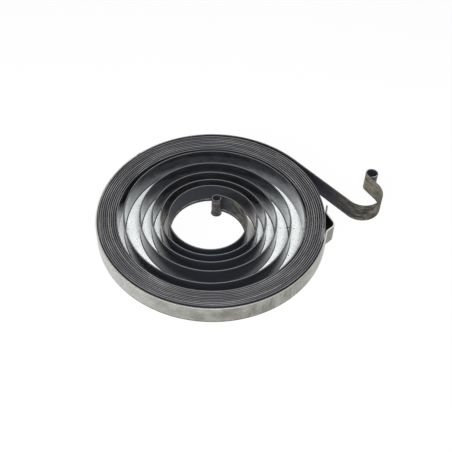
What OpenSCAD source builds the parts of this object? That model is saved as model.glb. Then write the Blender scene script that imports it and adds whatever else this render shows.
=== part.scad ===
// Recoil starter spring: a flat steel strip wound into a spiral that lies on its edge, with a
// sprung band that holds its packed turns together.
//
// Both pieces are bent strip, so each is written as a path of straight runs and bends. Every run
// and bend starts where the last one ended, square to its end face, so the strip stays tangent
// and whole when a size changes. Lengths are millimetres and angles are degrees.
//
// The coil's axis is Z, through the origin at the face that it rests on. The tail runs along +X.

/* [Strip] */
// Width of the strip, which is the height of the coil as it lies
strip_w = 6.3; // [5:0.1:9]
// Thickness of the strip
strip_t = 0.42; // [0.3:0.01:0.5]

/* [Winding] */
// Outside diameter of the packed coil
coil_d = 63.4; // [58:0.1:76]
// Loose turns between the inner eye and the pack
open_turns = 5; // [4:1:6]
// Packed turns round the outside
pack_turns = 10; // [7:1:12]
// Growth in radius over the first loose half turn
open_step_in = 1.05; // [0.8:0.01:1.3]
// Growth in radius over the last loose half turn
open_step_out = 2.45; // [1.8:0.01:2.8]
// How much more a loose half turn grows towards the eye's side than away from it
open_lean = 0.085; // [0:0.005:0.2]
// Growth in radius as the loose turns close on the pack, away from the eye's side
close_step_far = 1.3; // [0.8:0.05:1.6]
// Growth in radius as the loose turns close on the pack, on the eye's side
close_step_near = 0.5; // [0.4:0.05:0.8]
// Clearance between packed turns, away from the eye's side
pack_gap_far = 0.08; // [0.05:0.01:0.2]
// Clearance between packed turns, on the eye's side
pack_gap_near = 0.24; // [0.05:0.01:0.3]

/* [Inner eye] */
// Radius of the bore of the inner eye
inner_eye_r = 1; // [0.7:0.05:1.6]
// How far round the inner eye is rolled
inner_eye_sweep = 300; // [280:1:305]
// How much the innermost half turn is tucked in towards the eye
eye_tuck = 0.65; // [0:0.05:0.9]

/* [Tail and hook] */
// How much the last turn springs away from the pack before it leaves as the tail
tail_lift = 0.4; // [0.2:0.05:1.5]
// Length of the straight tail
tail_len = 22.3; // [15:0.1:40]
// Radius of the hook, at the middle of the strip
hook_r = 5.5; // [3.5:0.1:7]
// Length of the straight leg between the hook and the outer eye
leg_len = 4.4; // [2:0.1:8]
// Radius of the bore of the outer eye
outer_eye_r = 1.4; // [1:0.05:2.5]
// How far round the outer eye is rolled
outer_eye_sweep = 315; // [285:1:318]

/* [Retaining band] */
// Width of the band, which is its height as it lies
band_w = 5.7; // [4:0.1:6.3]
// Thickness of the band
band_t = 0.5; // [0.4:0.05:0.7]
// Clearance between the band and the coil
band_gap = 0.12; // [0.05:0.01:0.3]
// How far the band follows the last turn after it springs away from the pack
band_far_sweep = 79; // [50:1:85]
// Bend radius at the foot of the hump, at the middle of the band
hump_foot_r = 1.6; // [1:0.1:2.5]
// Bend radius at the crest of the hump, at the middle of the band
hump_crest_r = 1.8; // [1:0.1:2.5]
// Length of the hump's flat rising side
hump_rise = 1.75; // [0.5:0.05:2.5]
// How much longer the hump's flat falling side is, so that it comes back to the coil
hump_return = 1.4; // [0.8:0.05:1.4]
// Length of the straight tab at the band's end
tab_len = 2.2; // [1:0.1:5]

/* [Hidden] */
$fn = 180;

// Grid that the radii lie on
grid = 0.001;
// Slope of a 3-4-5 triangle: the angle between the tail and the winding, and of the hump's sides
slope = atan2(3, 4);
// Each half of the hook's bend. It falls short of square by the slope of a 237-3116-3125 triangle,
// so the leg opens a little from the tail.
hook_half = 90 - atan2(237, 3116);

spring_section = [strip_t, strip_w];
band_section = [band_t, band_w];

// The half turns of the winding, counted from the eye: even ones pass the tail's side
open_halves = 2 * open_turns;
last_half = 2 * (open_turns + pack_turns) - 1;
outer_half = last_half - 1;

function snap(v) = round(v / grid) * grid;
function near_side(i) = i % 2 == 1;
function sum(v, from, to) = from > to ? 0 : v[from] + sum(v, from + 1, to);

// Growth in radius from half turn i - 1 to half turn i. Loose turns open faster further out.
function open_step(i) =
    open_step_in + (open_step_out - open_step_in) * pow((i - 1) / (open_halves - 2), 2)
    + (near_side(i) ? open_lean : -open_lean) + (i == 1 ? eye_tuck : 0);
function pack_step(i) = (strip_t + (near_side(i) ? pack_gap_near : pack_gap_far)) / 2;
function half_step(i) =
    i < open_halves ? open_step(i)
    : i == open_halves ? close_step_far
    : i == open_halves + 1 ? close_step_near
    : pack_step(i);

// Radii at the middle of the strip. The pack's outermost whole half turn is centred on the axis.
steps = [for (i = [0:last_half]) i == 0 ? 0 : snap(half_step(i))];
outer_r = snap((coil_d - strip_t) / 2);
inner_r = outer_r - sum(steps, 1, outer_half);
radii = [for (i = [0:last_half]) inner_r + sum(steps, 1, i)];
leave_r = radii[last_half] + tail_lift;

// Each step moves the centre of a half turn along the line through the eye. Their sum sets
// where the innermost half turn meets that line.
drift = [for (i = [0:last_half]) near_side(i) ? steps[i] : -steps[i]];
eye_side_y = inner_r - sum(drift, 1, outer_half);

inner_eye_mid = inner_eye_r + strip_t / 2;
outer_eye_mid = outer_eye_r + strip_t / 2;

// A path is a list of runs and bends. A positive bend turns left and a negative one right.
function run(length) = [length];
function bend(radius, angle) = [radius, angle];

strip_path = concat(
    [for (i = [0:outer_half]) bend(radii[i], -180)],
    [
        bend(radii[last_half], -90),
        bend(leave_r, -90 - slope),
        run(tail_len),
        bend(hook_r, hook_half),
        bend(hook_r, hook_half),
        run(leg_len),
        bend(outer_eye_mid, -outer_eye_sweep),
    ]
);

// The band lies outside the last turn, at one clearance all round
band_offset = strip_t / 2 + band_gap + band_t / 2;
band_r = outer_r + band_offset;
band_wrap_path = [
    bend(band_r, -90),
    bend(radii[last_half] + band_offset, -90),
    bend(leave_r + band_offset, -band_far_sweep),
];
band_end_path = [
    bend(hump_foot_r, -slope),
    run(hump_rise),
    bend(hump_crest_r, 2 * slope),
    run(hump_rise + hump_return),
    bend(hump_foot_r, -slope),
    run(tab_len),
];

// A straight run from the origin along +X. A section is [thickness, width].
module run_solid(section, length)
    translate([0, -section[0] / 2, 0])
        cube([length, section[0], section[1]]);

// A bend to the right through whole degrees, from the origin, heading along +X
module whole_bend_solid(section, radius, degrees)
    translate([0, -radius, 0])
        rotate_extrude(angle = degrees, start = 90 - degrees)
            translate([radius - section[0] / 2, 0])
                square(section);

// A bend to the right from the origin. One that isn't a whole number of degrees is two that
// overlap: one from its start forwards and one from its end backwards.
module right_bend_solid(section, radius, angle) {
    whole = floor(angle);
    whole_bend_solid(section, radius, whole);
    if (whole < angle)
        after_bend(radius, -angle)
            mirror([1, 0, 0])
                whole_bend_solid(section, radius, whole);
}

module bend_solid(section, radius, angle)
    if (angle < 0)
        right_bend_solid(section, radius, -angle);
    else
        mirror([0, 1, 0])
            right_bend_solid(section, radius, angle);

// Places its children at the end of a bend, heading along the strip
module after_bend(radius, angle) {
    centre_y = angle < 0 ? -radius : radius;
    translate([0, centre_y, 0])
        rotate([0, 0, angle])
            translate([0, -centre_y, 0])
                children();
}

// Lays a path's runs and bends end to end from the origin, heading along +X
module follow(section, path, i = 0)
    if (i < len(path)) {
        size = path[i][0];
        angle = path[i][1];
        if (is_undef(angle)) {
            run_solid(section, size);
            translate([size, 0, 0])
                follow(section, path, i + 1);
        } else {
            bend_solid(section, size, angle);
            after_bend(size, angle)
                follow(section, path, i + 1);
        }
    }

// The rolled eye at the inner end, turned back from where the winding starts
module inner_eye()
    mirror([1, 0, 0])
        bend_solid(spring_section, inner_eye_mid, -inner_eye_sweep);

module power_spring()
    color([0.17, 0.18, 0.2])
        rotate([0, 0, slope])
            translate([0, eye_side_y, 0]) {
                inner_eye();
                follow(spring_section, strip_path);
            }

// The band runs both ways from the start of its hump
module retaining_band()
    color([0.62, 0.63, 0.6])
        rotate([0, 0, slope])
            translate([band_r, 0, 0]) {
                rotate([0, 0, -90])
                    follow(band_section, band_wrap_path);
                rotate([0, 0, 90])
                    follow(band_section, band_end_path);
            }

power_spring();
retaining_band();
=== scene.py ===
"""Looks of a recoil starter spring: a dark steel strip wound into a spiral, and its sprung band.

Lengths are metres, in the frame of the part: the coil's axis is Z, through the origin at the
surface that the coil rests on, and the tail runs along +X. Angles are degrees.
"""

import math

import bpy
import numpy as np
from mathutils import Matrix, Vector


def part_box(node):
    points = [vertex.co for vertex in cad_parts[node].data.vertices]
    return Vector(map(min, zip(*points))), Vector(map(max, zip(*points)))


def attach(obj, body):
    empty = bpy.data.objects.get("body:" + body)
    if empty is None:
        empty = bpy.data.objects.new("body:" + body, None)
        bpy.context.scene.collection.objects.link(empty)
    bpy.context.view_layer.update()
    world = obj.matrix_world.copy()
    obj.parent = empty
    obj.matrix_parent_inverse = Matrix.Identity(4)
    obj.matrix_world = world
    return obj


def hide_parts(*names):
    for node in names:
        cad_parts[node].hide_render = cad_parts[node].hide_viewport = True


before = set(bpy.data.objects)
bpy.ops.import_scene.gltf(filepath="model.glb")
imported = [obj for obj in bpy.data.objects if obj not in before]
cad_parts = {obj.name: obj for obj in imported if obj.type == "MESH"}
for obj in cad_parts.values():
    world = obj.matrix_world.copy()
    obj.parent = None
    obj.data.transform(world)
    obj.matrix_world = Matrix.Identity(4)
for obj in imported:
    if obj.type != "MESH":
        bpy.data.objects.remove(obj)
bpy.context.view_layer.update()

MM = 0.001

# The strip and its winding, at the middle of the strip's thickness
STRIP_T = 0.42 * MM
OUTER_R = 31.49 * MM
OPEN_TURNS = 5
PACK_TURNS = 10
OPEN_STEP_IN = 1.05 * MM
OPEN_STEP_OUT = 2.45 * MM
OPEN_LEAN = 0.085 * MM
CLOSE_STEP_FAR = 1.3 * MM
CLOSE_STEP_NEAR = 0.5 * MM
PACK_GAP_FAR = 0.08 * MM
PACK_GAP_NEAR = 0.24 * MM
EYE_TUCK = 0.65 * MM

# The strip's two ends
INNER_EYE_R = 1.21 * MM
INNER_EYE_SWEEP = 300
TAIL_LIFT = 0.4 * MM
TAIL_LEN = 22.3 * MM
HOOK_R = 5.5 * MM
HOOK_HALF = 90 - math.degrees(math.atan2(237, 3116))
LEG_LEN = 4.4 * MM
OUTER_EYE_R = 1.61 * MM
OUTER_EYE_SWEEP = 315

# The retaining band
BAND_T = 0.5 * MM
BAND_GAP = 0.12 * MM
BAND_FAR_SWEEP = 79
HUMP_FOOT_R = 1.6 * MM
HUMP_CREST_R = 1.8 * MM
HUMP_RISE = 1.75 * MM
HUMP_RETURN = 1.4 * MM
TAB_LEN = 2.2 * MM
# Where a dark nick is on its upper rim, as a length from its tab
RIM_NICK = 133.2 * MM

# Angle between the winding and the tail, and of the hump's sides
SLOPE = math.degrees(math.atan2(3, 4))

# How finely the strips are drawn
BEND_STEP = 2.0
RUN_STEP = 1.0 * MM
CORNER_STEPS = 4
STRIP_CORNER_R = 0.2 * MM
BAND_CORNER_R = 0.12 * MM

# How far a turn may stand above or below its neighbours, and the waves that it does so in, each as
# a length along the strip and a phase in radians
TURN_PLAY = 0.1 * MM
PLAY_WAVES = [(31 * MM, 0), (13.7 * MM, 1), (71 * MM, 2)]

# Where the strip's looks change, each as two lengths between which one look fades into another.
# The right face is on the inside of the winding and of both eyes, and on the outside of the hook.
# From the inner end:
INNER_LEFT_BARE = (7 * MM, 12 * MM)
INNER_RIGHT_DARK = (7 * MM, 16 * MM)
INNER_RIGHT_BARE = (22 * MM, 36 * MM)
# Where a painted highlight ends, a pale line low on the inside face of the innermost turn
INNER_GLINT = (70 * MM, 95 * MM)
INNER_MATTE = (72 * MM, 92 * MM)
# From the outer end:
# The last part of the strip, whose edges carry a painted highlight
END_GLINT = (1.6 * MM, 2.4 * MM)
# The outer eye's last part, left dark on its left face as painted shade
OUTER_LEFT_DARK = (2.4 * MM, 3.6 * MM)
OUTER_LEFT_BARE = (14 * MM, 30 * MM)
OUTER_RIGHT_DARK = (10 * MM, 12 * MM)
OUTER_RIGHT_PALE = (17 * MM, 22 * MM)
OUTER_RIGHT_BARE = (20 * MM, 42 * MM)
TAIL_EDGE = (45 * MM, 60 * MM)
OUTER_MATTE = (52 * MM, 62 * MM)
# From where the pack starts:
PACK_FADE = 60 * MM
# How strong the looks are that don't cover fully
INNER_LEFT_WEAR = 0.6
INNER_RIGHT_WEAR = 0.85
OUTER_RIGHT_PALENESS = 0.8

# The stained floor inside the coil, with painted shade on it: where it ends, as lengths from the axis,
# how softly it starts at the innermost turn, and how far past that turn it is painted a brown shade
STAINED_SHADED_REACH = (33 * MM, 30 * MM)
HUB_FADE = 0.2 * MM
FIRST_GAP = (3.1 * MM, 2.3 * MM)
# How much of its shadow the open floor shows
OPEN_SHADOW = 0.12
# The painted shade on the floor: how far it shows on each side of the loose turns, and how far it goes
# inwards from the band over the length of its tab and hump
FOOT_SPREAD = 0.15 * MM
HUMP_LEN = 13 * MM
HUMP_SHADE = 1.2 * MM

# The camera, as fitted to the photograph
IMAGE_PX = 452
FOCAL_PX = 825
SENSOR = 36
VIEW_AZIMUTH = 46
VIEW_ELEVATION = 48.96
VIEW_ROLL = 1.96
VIEW_DISTANCE = 236.0 * MM
# Where the middle of the image meets the floor, right of the coil's axis and beyond it
VIEW_RIGHT = 3.92 * MM
VIEW_BEYOND = 0.99 * MM
# The far left of the coil, towards which the floor between the turns is darkened by painted shade
DIM_AZIMUTH = VIEW_AZIMUTH + 135


def run(length):
    return (length, None)


def bend(radius, angle):
    """A positive bend turns left and a negative one right."""
    return (radius, angle)


def turned(points, angle):
    """Points in the plane, turned about the origin."""
    a = math.radians(angle)
    return points @ np.array([[math.cos(a), math.sin(a)], [-math.sin(a), math.cos(a)]])


def level(angle):
    """The level direction at an angle from +X."""
    a = math.radians(angle)
    return Vector((math.cos(a), math.sin(a), 0))


def walk(path, start, heading):
    """Points along the middle of a path of runs and bends, and the heading at each in radians."""
    at = np.array(start, float)
    way = math.radians(heading)
    points = [at]
    ways = [way]
    for size, angle in path:
        if angle is None:
            count = math.ceil(size / RUN_STEP)
            ahead = np.array([math.cos(way), math.sin(way)])
            points += [at + ahead * size * k / count for k in range(1, count + 1)]
            ways += [way] * count
        else:
            count = math.ceil(abs(angle) / BEND_STEP)
            side = math.copysign(1, angle)
            centre = at + size * side * np.array([-math.sin(way), math.cos(way)])
            for k in range(1, count + 1):
                now = way + math.radians(angle) * k / count
                points.append(centre + size * side * np.array([math.sin(now), -math.cos(now)]))
                ways.append(now)
            way += math.radians(angle)
        at = points[-1]
    return np.array(points), np.array(ways)


def joined_walks(back, ahead, start, heading):
    """One line from two paths that leave the same start in opposite directions."""
    points_back, ways_back = walk(back, start, heading + 180)
    points_ahead, ways_ahead = walk(ahead, start, heading)
    points = np.vstack([points_back[::-1], points_ahead[1:]])
    ways = np.concatenate([ways_back[::-1] - math.pi, ways_ahead[1:]])
    return turned(points, SLOPE), ways + math.radians(SLOPE)


def half_turn_steps():
    """Growth in radius before each half turn of the winding, counted from the eye."""
    halves = 2 * OPEN_TURNS
    steps = [0.0]
    for i in range(1, 2 * (OPEN_TURNS + PACK_TURNS)):
        near = i % 2 == 1
        if i < halves:
            share = ((i - 1) / (halves - 2)) ** 2
            step = OPEN_STEP_IN + (OPEN_STEP_OUT - OPEN_STEP_IN) * share
            step += OPEN_LEAN if near else -OPEN_LEAN
            step += EYE_TUCK if i == 1 else 0
        elif i == halves:
            step = CLOSE_STEP_FAR
        elif i == halves + 1:
            step = CLOSE_STEP_NEAR
        else:
            step = (STRIP_T + (PACK_GAP_NEAR if near else PACK_GAP_FAR)) / 2
        steps.append(step)
    return np.array(steps)


half_steps = half_turn_steps()
radii = OUTER_R - half_steps[:-1].sum() + np.cumsum(half_steps)
leave_r = radii[-1] + TAIL_LIFT
pack_start = math.pi * radii[:2 * OPEN_TURNS].sum()


def eye_side_y():
    """Where the innermost half turn starts, on the line through the middles of all half turns."""
    signs = np.where(np.arange(len(half_steps)) % 2 == 1, 1, -1)
    return radii[0] - (half_steps * signs)[:-1].sum()


def spring_line():
    """The middle of the strip from the inner eye to the outer one."""
    eye = [bend(INNER_EYE_R, INNER_EYE_SWEEP)]
    winding = [bend(r, -180) for r in radii[:-1]]
    end = [
        bend(radii[-1], -90),
        bend(leave_r, -90 - SLOPE),
        run(TAIL_LEN),
        bend(HOOK_R, HOOK_HALF),
        bend(HOOK_R, HOOK_HALF),
        run(LEG_LEN),
        bend(OUTER_EYE_R, -OUTER_EYE_SWEEP),
    ]
    return joined_walks(eye, winding + end, (0, eye_side_y()), 0)


def band_line():
    """The middle of the band from its tab round to its far end."""
    offset = STRIP_T / 2 + BAND_GAP + BAND_T / 2
    wrap = [
        bend(OUTER_R + offset, -90),
        bend(radii[-1] + offset, -90),
        bend(leave_r + offset, -BAND_FAR_SWEEP),
    ]
    hump = [
        bend(HUMP_FOOT_R, -SLOPE),
        run(HUMP_RISE),
        bend(HUMP_CREST_R, 2 * SLOPE),
        run(HUMP_RISE + HUMP_RETURN),
        bend(HUMP_FOOT_R, -SLOPE),
        run(TAB_LEN),
    ]
    return joined_walks(hump, wrap, (OUTER_R + offset, 0), -90)


def rightward(ways):
    """Directions to the right of each heading, in the plane."""
    return np.stack([np.sin(ways), -np.cos(ways)], 1)


def lengths_along(points):
    gaps = np.linalg.norm(np.diff(points, axis=0), axis=1)
    return np.concatenate([[0], np.cumsum(gaps)])


def section(thickness, width, corner):
    """Points and normals round a strip's section, as (across, up) pairs, with rounded corners."""
    points = []
    normals = []
    for quarter in range(4):
        right = 1 if quarter in (0, 3) else -1
        top = 1 if quarter < 2 else -1
        middle = (right * (thickness / 2 - corner), top * (width / 2 - corner) + width / 2)
        for k in range(CORNER_STEPS + 1):
            a = math.radians(90 * (quarter + k / CORNER_STEPS))
            normal = np.array([math.cos(a), math.sin(a)])
            normals.append(normal)
            points.append(np.array(middle) + corner * normal)
    return np.array(points), np.array(normals)


def swept_strip(name, points, ways, profile, lift):
    """A closed strip swept along a line, with its exact normals.

    It carries its own coordinates, strip_mm: along the strip, up, and from side to side.
    """
    ring_points, ring_normals = profile
    across = rightward(ways)
    count = len(points)
    size = len(ring_points)
    flat = points[:, None, :] + across[:, None, :] * ring_points[None, :, 0:1]
    up = ring_points[None, :, 1] + lift[:, None]
    verts = np.concatenate([flat, up[:, :, None]], 2).reshape(-1, 3)
    normal_flat = across[:, None, :] * ring_normals[None, :, 0:1]
    normal_up = np.broadcast_to(ring_normals[None, :, 1], (count, size))
    normals = np.concatenate([normal_flat, normal_up[:, :, None]], 2).reshape(-1, 3)

    faces = []
    for i in range(count - 1):
        for j in range(size):
            a = i * size + j
            b = i * size + (j + 1) % size
            faces.append((a, a + size, b + size, b))
    faces.append(tuple(range(size)))
    faces.append(tuple(range(count * size - 1, (count - 1) * size - 1, -1)))

    mesh = bpy.data.meshes.new(name)
    mesh.from_pydata(verts.tolist(), [], faces)
    mesh.shade_smooth()
    corner_normals = normals[[v for face in faces for v in face]]
    corner_normals[-2 * size:-size] = (-math.cos(ways[0]), -math.sin(ways[0]), 0)
    corner_normals[-size:] = (math.cos(ways[-1]), math.sin(ways[-1]), 0)
    mesh.normals_split_custom_set(corner_normals.tolist())

    along = np.repeat(lengths_along(points), size)
    side = np.tile(ring_points[:, 0], count)
    own = np.stack([along, verts[:, 2], side], 1) / MM
    attribute = mesh.attributes.new("strip_mm", "FLOAT_VECTOR", "POINT")
    attribute.data.foreach_set("vector", own.astype(np.float32).ravel())
    piece = bpy.data.objects.new(name, mesh)
    bpy.context.scene.collection.objects.link(piece)
    return piece


def rises(values, span):
    """0 before a span, 1 after it, and smooth between."""
    share = np.clip((values - span[0]) / (span[1] - span[0]), 0, 1)
    return share * share * (3 - 2 * share)


def falls(values, span):
    return 1 - rises(values, span)


def strip_shares(along):
    """How much of each look the strip has along its length, on its left and right faces."""
    to_end = along[-1] - along
    none = np.zeros_like(along)
    inner_left = INNER_LEFT_WEAR * falls(along, INNER_LEFT_BARE)
    inner_right = INNER_RIGHT_WEAR * falls(along, INNER_RIGHT_BARE) * rises(along, INNER_RIGHT_DARK)
    # The outer eye's last part stays dark on its left face, as painted shade
    outer_left = falls(to_end, OUTER_LEFT_BARE) * rises(to_end, OUTER_LEFT_DARK)
    outer_right = falls(to_end, OUTER_RIGHT_BARE) * rises(to_end, OUTER_RIGHT_DARK)
    end_glint = falls(to_end, END_GLINT)
    matte = np.maximum(falls(along, INNER_MATTE), falls(to_end, OUTER_MATTE))
    packed = rises(along, (pack_start, pack_start + PACK_FADE)) * rises(to_end, TAIL_EDGE)
    return {
        "bare": (inner_left + outer_left, inner_right + outer_right),
        "pale": (outer_left, OUTER_RIGHT_PALENESS * falls(to_end, OUTER_RIGHT_PALE)),
        "painted_glint": (none, falls(along, INNER_GLINT)),
        "matte": (none, matte),
        "end_glint": (end_glint, end_glint),
        "packed": (packed, packed),
    }


def add_share(piece, name, profile, left, right):
    """A share from 0 to 1 along a swept strip's two faces, for its material to read."""
    on_right = profile[0][None, :, 0] > 0
    values = np.where(on_right, right[:, None], left[:, None])
    attribute = piece.data.attributes.new(name, "FLOAT", "POINT")
    attribute.data.foreach_set("value", values.astype(np.float32).ravel())


def power_spring():
    points, ways = spring_line()
    low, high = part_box("power_spring")
    profile = section(STRIP_T, high.z - low.z - TURN_PLAY, STRIP_CORNER_R)
    along = lengths_along(points)
    sway = sum(np.sin(along / length + phase) for length, phase in PLAY_WAVES) / len(PLAY_WAVES)
    lift = low.z + TURN_PLAY * (1 + sway) / 2
    piece = swept_strip("wound_strip", points, ways, profile, lift)
    for name, (left, right) in strip_shares(along).items():
        add_share(piece, name, profile, left, right)
    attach(piece, "root")
    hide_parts("power_spring")
    return piece


def retaining_band():
    points, ways = band_line()
    low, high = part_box("retaining_band")
    profile = section(BAND_T, high.z - low.z, BAND_CORNER_R)
    piece = swept_strip("sprung_band", points, ways, profile, np.full(len(points), low.z))
    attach(piece, "root")
    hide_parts("retaining_band")
    return piece


class Shader:
    """The nodes of a material or world, built up in a few plain steps."""

    def __init__(self, owner):
        owner.use_nodes = True
        self.tree = owner.node_tree
        self.tree.nodes.clear()

    def add(self, kind, inputs=None, **settings):
        node = self.tree.nodes.new(kind)
        for name, value in settings.items():
            setattr(node, name, value)
        for name, value in (inputs or {}).items():
            if isinstance(value, bpy.types.NodeSocket):
                self.tree.links.new(value, node.inputs[name])
            else:
                node.inputs[name].default_value = value
        return node

    def attribute(self, name, output="Fac"):
        return self.add("ShaderNodeAttribute", attribute_name=name).outputs[output]

    def stretched(self, vector, scale):
        return self.add("ShaderNodeMapping", {"Vector": vector, "Scale": scale}).outputs["Vector"]

    def ringed(self, place, width, length):
        """Coordinates that draw a pattern out into arcs round the axis."""
        parts = self.add("ShaderNodeSeparateXYZ", {"Vector": place}).outputs
        inputs = {
            "X": self.math("DIVIDE", self.measure("LENGTH", place), width),
            "Y": self.math("DIVIDE", parts["X"], length),
            "Z": self.math("DIVIDE", parts["Y"], length),
        }
        return self.add("ShaderNodeCombineXYZ", inputs).outputs["Vector"]

    def noise(self, vector, detail=3.0, roughness=0.5):
        inputs = {"Vector": vector, "Scale": 1.0, "Detail": detail, "Roughness": roughness}
        return self.add("ShaderNodeTexNoise", inputs).outputs["Fac"]

    def spots(self, vector, dimensions="3D"):
        inputs = {"Vector": vector, "Scale": 1.0}
        node = self.add("ShaderNodeTexVoronoi", inputs, voronoi_dimensions=dimensions)
        return node.outputs["Distance"]

    def ramp(self, value, start, end, low=0.0, high=1.0):
        inputs = {"Value": value, "From Min": start, "From Max": end, "To Min": low, "To Max": high}
        return self.add("ShaderNodeMapRange", inputs, interpolation_type="SMOOTHSTEP").outputs["Result"]

    def math(self, operation, a, b=0.0):
        return self.add("ShaderNodeMath", {0: a, 1: b}, operation=operation).outputs["Value"]

    def product(self, a, b):
        return self.math("MULTIPLY", a, b)

    def greatest(self, *values):
        most = values[0]
        for value in values[1:]:
            most = self.math("MAXIMUM", most, value)
        return most

    def measure(self, operation, a, b=(0, 0, 0)):
        """A number worked out from one or two vectors."""
        return self.add("ShaderNodeVectorMath", {0: a, 1: b}, operation=operation).outputs["Value"]

    def mix(self, share, a, b):
        """One colour laid over another. The node's sockets 6 and 7 are its colours."""
        inputs = {"Factor": share, 6: a, 7: b}
        return self.add("ShaderNodeMix", inputs, data_type="RGBA").outputs[2]

    def blend(self, share, a, b):
        """A number between two others. The node's sockets 2 and 3 are its numbers."""
        inputs = {"Factor": share, 2: a, 3: b}
        return self.add("ShaderNodeMix", inputs, data_type="FLOAT").outputs[0]

    def upward(self):
        """How far the surface faces up or down."""
        normal = self.add("ShaderNodeNewGeometry").outputs["Normal"]
        parts = self.add("ShaderNodeSeparateXYZ", {"Vector": normal})
        return self.math("ABSOLUTE", parts.outputs["Z"])

    def seen(self):
        """1 where the camera looks, straight or by way of something shiny or clear."""
        path = self.add("ShaderNodeLightPath").outputs
        return self.greatest(path["Is Camera Ray"], path["Is Glossy Ray"], path["Is Transmission Ray"])

    def principled(self, inputs):
        self.end("ShaderNodeOutputMaterial", self.add("ShaderNodeBsdfPrincipled", inputs))

    def end(self, kind, last):
        output = self.add(kind)
        self.tree.links.new(last.outputs[0], output.inputs["Surface"])


def spring_steel():
    """Blued strip: near black face on, mirror-like at a glance, with paler edges and dulled ends."""
    material = bpy.data.materials.new("spring_steel")
    s = Shader(material)
    place = s.attribute("strip_mm", "Vector")
    parts = s.add("ShaderNodeSeparateXYZ", {"Vector": place})
    height = parts.outputs["Y"]
    side = parts.outputs["Z"]
    streaks = s.noise(s.stretched(place, (0.12, 6.0, 1.0)), 4.0, 0.6)
    clouds = s.noise(s.stretched(place, (0.25, 0.5, 1.0)), 3.0)
    waves = s.noise(s.stretched(place, (0.06, 0.2, 1.0)), 2.0)
    grime = s.noise(s.stretched(place, (0.4, 1.0, 1.0)), 5.0, 0.7)
    turns = s.noise(s.stretched(place, (0.03, 0.0, 1.0)), 4.0, 0.7)
    grain = s.noise(s.stretched(place, (1.2, 0.0, 6.0)), 4.0, 0.7)
    spot = s.add("ShaderNodeTexCoord").outputs["Object"]
    arcs = s.noise(s.ringed(spot, 1.1 * MM, 14 * MM), 2.0, 0.6)
    pits = s.spots(s.stretched(place, (0.55, 0.8, 1.0)))

    # Which look is where
    in_pack = s.attribute("packed")
    upward = s.upward()
    is_edge = s.blend(in_pack, s.ramp(upward, 0.84, 0.97), s.ramp(upward, 0.58, 0.92))
    loose_edge = s.product(is_edge, s.math("SUBTRACT", 1.0, in_pack))
    rounded = s.ramp(upward, 0.05, 0.3)
    worn = s.product(s.attribute("bare"), s.ramp(clouds, 0.15, 0.5))
    # Dirt in pits, and painted shade along the strip's foot where it meets the floor
    pitted_and_foot_shaded = s.greatest(s.ramp(pits, 0.07, 0.04), s.ramp(height, 0.4, 0.25))
    foot = s.product(s.ramp(height, 0.45, 0.6), s.ramp(height, 0.95, 0.75))
    # A painted highlight: a pale line near the foot of the innermost turn's inside face
    painted_glint = s.product(s.attribute("painted_glint"), s.product(foot, s.ramp(grime, 0.38, 0.58)))
    dull = s.greatest(worn, pitted_and_foot_shaded, s.attribute("matte"), rounded)
    gloss = s.math("SUBTRACT", 1.0, dull)
    bright = s.product(gloss, s.ramp(side, -0.05, 0.05))

    # The colour of each look
    # Dirt in the pits, which also serves as the painted shade at the strip's foot
    pit_dirt_and_shade = (0.01, 0.009, 0.008, 1)
    # The pale grey of the painted highlight near the innermost turn's foot
    glint_grey = (0.3, 0.3, 0.29, 1)
    face = s.mix(streaks, (0.017, 0.0185, 0.024, 1), (0.035, 0.038, 0.046, 1))
    face = s.mix(s.ramp(waves, 0.5, 0.7, 0.0, 0.5), face, (0.027, 0.032, 0.043, 1))
    polished = s.mix(s.ramp(clouds, 0.3, 0.7), (0.07, 0.071, 0.087, 1), (0.12, 0.123, 0.137, 1))
    brown = s.mix(s.ramp(grime, 0.4, 0.66), (0.017, 0.0162, 0.015, 1), (0.18, 0.16, 0.122, 1))
    pale = s.mix(s.ramp(grime, 0.36, 0.64), (0.085, 0.077, 0.06, 1), (0.27, 0.247, 0.195, 1))
    bare = s.mix(s.attribute("pale"), brown, pale)
    packed = s.mix(s.ramp(turns, 0.35, 0.65), (0.11, 0.11, 0.12, 1), (0.27, 0.265, 0.256, 1))
    packed = s.mix(s.ramp(arcs, 0.4, 0.62, 0.0, 0.65), packed, (0.065, 0.065, 0.073, 1))
    packed = s.mix(s.ramp(grain, 0.48, 0.7, 0.0, 0.6), packed, (0.055, 0.055, 0.06, 1))
    edge = s.mix(in_pack, (0.165, 0.165, 0.161, 1), packed)
    edge = s.mix(s.attribute("bare"), edge, (0.1, 0.094, 0.082, 1))
    # A painted highlight on the edges of the outer eye's last part
    edge = s.mix(s.attribute("end_glint"), edge, (0.45, 0.45, 0.44, 1))

    # One look laid over another
    colour = s.mix(bright, face, polished)
    colour = s.mix(worn, colour, bare)
    # Dirt in pits, and painted shade at the foot
    colour = s.mix(pitted_and_foot_shaded, colour, pit_dirt_and_shade)
    colour = s.mix(painted_glint, colour, glint_grey)
    colour = s.mix(is_edge, colour, edge)
    rough = s.blend(dull, s.ramp(clouds, 0.3, 0.7, 0.08, 0.16), 0.6)
    coat = s.blend(bright, s.product(gloss, 0.3), gloss)
    bump = s.add("ShaderNodeBump", {"Strength": 0.08, "Distance": 0.0005, "Height": waves})
    s.principled({
        "Base Color": colour,
        "Metallic": s.product(bright, 0.78),
        "Roughness": s.blend(loose_edge, rough, 0.35),
        "IOR": 1.25,
        "Normal": bump.outputs["Normal"],
        "Coat Weight": s.product(coat, s.ramp(clouds, 0.4, 0.6, 0.8, 1.0)),
        "Coat IOR": 1.5,
        "Coat Roughness": 0.1,
    })
    return material


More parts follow.
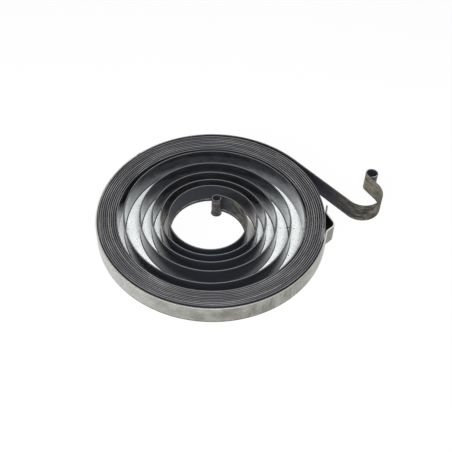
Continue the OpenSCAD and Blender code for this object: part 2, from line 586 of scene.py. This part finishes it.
def zinc_band():
    """Dull galvanised strip with soft mottling, a little yellowed. Lengths along it are in mm."""
    material = bpy.data.materials.new("zinc_band")
    s = Shader(material)
    place = s.attribute("strip_mm", "Vector")
    parts = s.add("ShaderNodeSeparateXYZ", {"Vector": place})
    along = parts.outputs["X"]
    height = parts.outputs["Y"]
    side = parts.outputs["Z"]
    clouds = s.noise(s.stretched(place, (0.22, 0.3, 1.0)), 4.0, 0.6)
    grain = s.noise(s.stretched(place, (1.6, 3.0, 1.0)), 4.0, 0.7)
    streaks = s.noise(s.stretched(place, (0.1, 4.0, 1.0)), 3.0)
    drips = s.noise(s.stretched(place, (0.9, 0.12, 1.0)), 4.0, 0.7)

    # Mottled zinc, with olive drips towards the hump, and lighter towards the far end as painted light
    zinc = s.mix(s.ramp(clouds, 0.3, 0.7), (0.12, 0.117, 0.096, 1), (0.3, 0.302, 0.277, 1))
    olive = s.product(s.ramp(drips, 0.46, 0.66), s.ramp(along, 58.0, 38.0, 0.2, 0.9))
    zinc = s.mix(olive, zinc, (0.11, 0.1, 0.058, 1))
    # Painted light: lighter zinc towards the far end
    zinc = s.mix(s.ramp(along, 46.0, 98.0, 0.0, 0.8), zinc, (0.44, 0.452, 0.425, 1))

    # The brown hump, then grime and lighter streaks over the whole
    hump = s.mix(drips, (0.05, 0.042, 0.027, 1), (0.19, 0.168, 0.112, 1))
    zinc = s.mix(s.ramp(along, 14.0, 10.5, 0.0, 0.85), zinc, hump)
    zinc = s.mix(s.ramp(grain, 0.5, 0.68, 0.0, 0.7), zinc, (0.08, 0.073, 0.05, 1))
    zinc = s.mix(s.ramp(streaks, 0.55, 0.8, 0.0, 0.35), zinc, (0.33, 0.338, 0.32, 1))

    # The rim, which is paler at the hump and at the far end, and its nick
    clean = s.greatest(s.ramp(along, 20.0, 10.0), s.ramp(along, 90.0, 112.0))
    rim = s.mix(clean, (0.34, 0.34, 0.305, 1), (0.62, 0.64, 0.59, 1))
    from_nick = s.math("ABSOLUTE", s.math("SUBTRACT", along, RIM_NICK / MM))
    rim = s.mix(s.ramp(from_nick, 0.8, 0.4), rim, (0.03, 0.028, 0.024, 1))
    zinc = s.mix(s.ramp(s.upward(), 0.4, 0.9), zinc, rim)

    # The dark tab, and painted shade on the foot and on the inner side that faces the coil
    tab_end = TAB_LEN / MM
    zinc = s.mix(s.ramp(along, tab_end + 1.2, tab_end, 0.0, 0.75), zinc, (0.04, 0.039, 0.036, 1))
    # Painted shade along the band's foot, where it meets the floor
    zinc = s.mix(s.ramp(height, 0.5, 0.25), zinc, (0.035, 0.032, 0.026, 1))
    # Painted shade on the band's inner side, which faces the coil
    zinc = s.mix(s.ramp(side, 0.0, 0.2), zinc, (0.02, 0.02, 0.018, 1))
    bump = s.add("ShaderNodeBump", {"Strength": 0.2, "Distance": 0.0001, "Height": grain})
    s.principled({
        "Base Color": zinc,
        "Metallic": 0.35,
        "Roughness": s.ramp(grain, 0.3, 0.7, 0.35, 0.5),
        "Normal": bump.outputs["Normal"],
        "Coat Weight": 0.6,
        "Coat Roughness": 0.3,
    })
    return material


def past_hub(s, place):
    """How far a place on the floor is beyond the innermost turn."""
    across = level(SLOPE)
    along = level(SLOPE + 90)
    first_y = eye_side_y() - radii[0]
    past_half = []
    for shift, radius in zip((0, half_steps[1]), radii[:2]):
        away = s.measure("DISTANCE", place, along * (first_y + shift))
        past_half.append(s.math("SUBTRACT", away, radius))
    on_right = s.math("GREATER_THAN", s.measure("DOT_PRODUCT", place, across), 0.0)
    return s.blend(on_right, past_half[1], past_half[0])


def stained_shaded_white(s, place, reach, beyond):
    """The floor between the turns: cloudy, ragged and specked.

    It has painted shade: it is dimmer at the far left, and brown between the two innermost turns.
    """
    clouds = s.noise(s.stretched(place, (300, 300, 300)), 4.0, 0.6)
    ragged = s.noise(s.stretched(place, (1500, 1500, 1500)), 3.0)
    specks = s.spots(s.stretched(place, (290, 290, 290)), "2D")
    specks = s.ramp(s.math("ADD", specks, s.product(ragged, 0.16)), 0.13, 0.1)
    # Painted shade that dims the floor towards the far left of the coil
    facing = s.math("DIVIDE", s.measure("DOT_PRODUCT", place, level(DIM_AZIMUTH)), reach)
    dimmed = s.product(s.ramp(facing, 0.72, 0.97), s.ramp(clouds, 0.3, 0.6, 0.2, 0.5))
    colour = s.mix(s.ramp(clouds, 0.35, 0.7), (0.84, 0.88, 0.88, 1), (0.95, 0.965, 0.955, 1))
    colour = s.mix(s.ramp(ragged, 0.5, 0.7, 0.0, 0.55), colour, (0.6, 0.62, 0.62, 1))
    colour = s.mix(dimmed, colour, (0.36, 0.37, 0.385, 1))
    # Painted shade, tinted brown, on the floor just past the innermost turn
    colour = s.mix(s.ramp(beyond, *FIRST_GAP, 0.0, 0.75), colour, (0.2, 0.175, 0.155, 1))
    return s.mix(specks, colour, (0.12, 0.105, 0.08, 1))


def white_paper():
    """White that keeps a light shadow and is seen as white, but for the floor inside the coil."""
    material = bpy.data.materials.new("white_paper")
    s = Shader(material)
    place = s.add("ShaderNodeNewGeometry").outputs["Position"]
    reach = s.measure("LENGTH", place)
    beyond = past_hub(s, place)
    inside = s.product(s.ramp(beyond, -HUB_FADE, HUB_FADE), s.ramp(reach, *STAINED_SHADED_REACH))
    colour = s.mix(inside, (0.9, 0.9, 0.9, 1), stained_shaded_white(s, place, reach, beyond))
    paper = s.add("ShaderNodeBsdfDiffuse", {"Color": colour})
    glow = s.add("ShaderNodeEmission", {"Color": (1, 1, 1, 1), "Strength": 1.0})
    share = s.product(s.seen(), s.blend(inside, 1 - OPEN_SHADOW, 0.0))
    both = s.add("ShaderNodeMixShader", {0: share, 1: paper.outputs[0], 2: glow.outputs[0]})
    s.end("ShaderNodeOutputMaterial", both)
    return material


def deep_shade():
    """The floor where no light reaches it."""
    material = bpy.data.materials.new("deep_shade")
    Shader(material).principled({"Base Color": (0.06, 0.058, 0.055, 1), "Roughness": 0.8})
    return material


def staged(name, verts, faces, material):
    """A sheet that belongs to the setting."""
    mesh = bpy.data.meshes.new(name)
    mesh.from_pydata(verts, [], faces)
    mesh.materials.append(material)
    sheet = bpy.data.objects.new(name, mesh)
    bpy.context.scene.collection.objects.link(sheet)


def white_floor():
    half = 3.0
    depth = 0.02 * MM
    verts = [(x, y, -depth) for x, y in ((-half, -half), (half, -half), (half, half), (-half, half))]
    staged("floor", verts, [(0, 1, 2, 3)], white_paper())


def floor_ribbon(name, points, ways, left, right, material):
    """A flat ribbon on the floor along a line, from its left side to its right one."""
    depth = 0.01 * MM
    across = rightward(ways)
    sides = np.stack([points - across * left, points + across * right], 1).reshape(-1, 2)
    verts = np.column_stack([sides, np.full(len(sides), -depth)])
    faces = [(i, i + 1, i + 3, i + 2) for i in range(0, len(verts) - 2, 2)]
    staged(name, verts.tolist(), faces, material)


def floor_shades():
    """Painted shade: a thin dark line on the floor under the loose turns, and dark floor inside the
    hump.
    """
    material = deep_shade()
    points, ways = spring_line()
    loose = lengths_along(points) < pack_start
    spread = STRIP_T / 2 + FOOT_SPREAD
    floor_ribbon("strip_foot_shade", points[loose], ways[loose], spread, spread, material)
    points, ways = band_line()
    hump = lengths_along(points) < HUMP_LEN
    floor_ribbon("hump_shade", points[hump], ways[hump], 0, HUMP_SHADE, material)


def white_world():
    """A dim even room, seen as white."""
    room_light = 0.3
    world = bpy.data.worlds.new("white_room")
    s = Shader(world)
    strength = s.blend(s.seen(), room_light, 1.0)
    room = s.add("ShaderNodeBackground", {"Color": (1, 1, 1, 1), "Strength": strength})
    s.end("ShaderNodeOutputWorld", room)
    bpy.context.scene.world = world


def softbox(name, side, elevation, distance, size, radiance):
    """A rectangular lamp that looks at the coil from a side, an angle from the camera's own."""
    e = math.radians(elevation)
    away = level(VIEW_AZIMUTH + side - 90) * math.cos(e) + Vector((0, 0, math.sin(e)))
    lamp = bpy.data.lights.new(name, "AREA")
    lamp.shape = "RECTANGLE"
    lamp.size, lamp.size_y = size
    lamp.energy = radiance * math.pi * size[0] * size[1]
    box = bpy.data.objects.new(name, lamp)
    box.location = away * distance
    box.rotation_euler = (-away).to_track_quat("-Z", "Y").to_euler()
    bpy.context.scene.collection.objects.link(box)


def camera():
    e = math.radians(VIEW_ELEVATION)
    right = Vector((1, 0, 0))
    up = Vector((0, math.sin(e), math.cos(e)))
    back = Vector((0, -math.cos(e), math.sin(e)))
    place = Vector((VIEW_RIGHT, VIEW_BEYOND, 0)) + VIEW_DISTANCE * back
    axes = Matrix((right, up, back)).transposed().to_4x4()
    pose = Matrix.Translation(place) @ axes @ Matrix.Rotation(math.radians(VIEW_ROLL), 4, "Z")
    data = bpy.data.cameras.new("camera")
    data.sensor_width = SENSOR
    data.lens = SENSOR * FOCAL_PX / IMAGE_PX
    data.clip_start = 0.01
    made = bpy.data.objects.new("camera", data)
    made.matrix_world = Matrix.Rotation(math.radians(VIEW_AZIMUTH), 4, "Z") @ pose
    bpy.context.scene.collection.objects.link(made)
    bpy.context.scene.camera = made


camera()
white_floor()
floor_shades()
white_world()
softbox("front_softbox", side=8, elevation=62, distance=0.55, size=(0.2, 0.1), radiance=45)
softbox("left_softbox", side=-50, elevation=20, distance=0.6, size=(0.4, 0.25), radiance=4)

spring = power_spring()
spring.data.materials.append(spring_steel())
band = retaining_band()
band.data.materials.append(zinc_band())

bpy.context.scene.view_settings.view_transform = "Standard"
